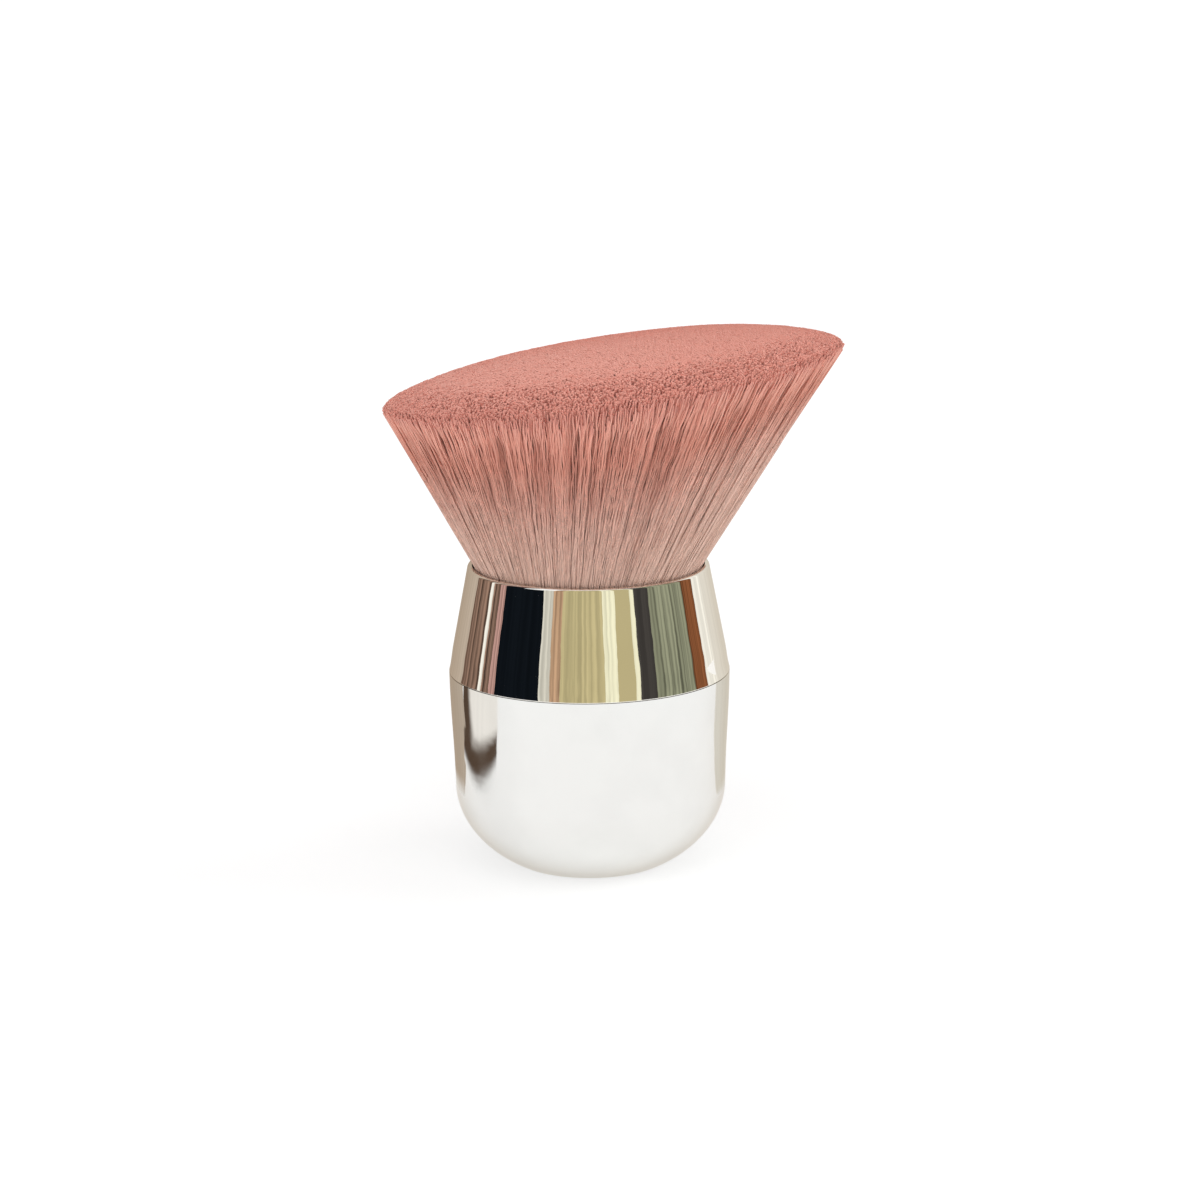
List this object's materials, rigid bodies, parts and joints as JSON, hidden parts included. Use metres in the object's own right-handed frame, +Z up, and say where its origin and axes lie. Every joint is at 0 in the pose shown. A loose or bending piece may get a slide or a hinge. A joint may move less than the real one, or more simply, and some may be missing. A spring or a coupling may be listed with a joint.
{
  "type": "angled makeup brush",
  "caption": "Kabuki style makeup brush with a dense pink tuft cut on a slant and a short, bright, bulb-shaped metal handle with a small flat base.",
  "frame": {"origin": "centre of the flat face that the handle stands on", "axes": "+Z up the handle's axis, towards the tuft; +X towards the tall side of the slanted tuft; the picture looks along +Y"},
  "size_m": [0.071, 0.057, 0.0839],
  "materials": {
    "plated_shell": "polished",
    "ferrule_metal": "satin",
    "cured_resin": "gloss",
    "pink_fibre": "matte",
    "ballast_steel": "satin",
    "pad_foam": "matte"
  },
  "bodies": {
    "root": {"base_cup": "plated_shell", "collar": "plated_shell", "ferrule_cup": "ferrule_metal", "resin_plug": "cured_resin", "bristles": "pink_fibre", "ballast_weight": "ballast_steel", "ballast_pad": "pad_foam"}
  },
  "joints": []
}
